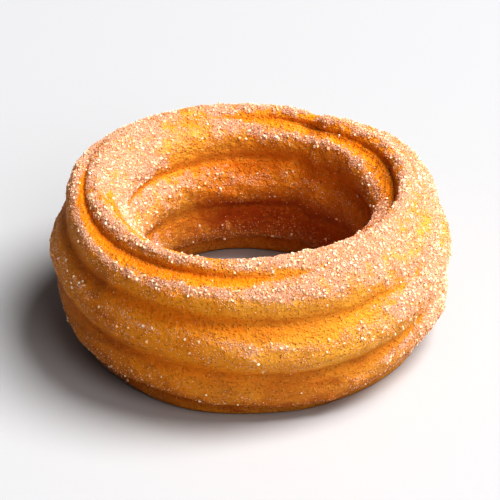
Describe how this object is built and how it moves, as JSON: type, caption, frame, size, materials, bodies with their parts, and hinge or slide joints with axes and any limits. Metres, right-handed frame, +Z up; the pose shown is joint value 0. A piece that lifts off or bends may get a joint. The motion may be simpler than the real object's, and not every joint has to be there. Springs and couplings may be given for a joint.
{
  "type": "ring churro",
  "caption": "Tall ring-shaped churro with rounded ridges piped round it and a seam on top, deep fried golden brown and dusted with cinnamon sugar, for desserts and bakery displays.",
  "frame": {"origin": "middle of the bounding box's bottom face, on the surface that the ring rests on", "axes": "+Z up along the ring's axis, -Y towards the side nearest the viewer, +X to the viewer's right"},
  "size_m": [0.075, 0.0742, 0.0323],
  "materials": {
    "fried_dough": "deep fried crust, golden brown, finely pitted, with a thin gloss of oil",
    "cinnamon_sugar": "fine sugar crystals mixed with brown cinnamon dust"
  },
  "bodies": {
    "root": {"churro": "fried_dough"}
  },
  "joints": []
}
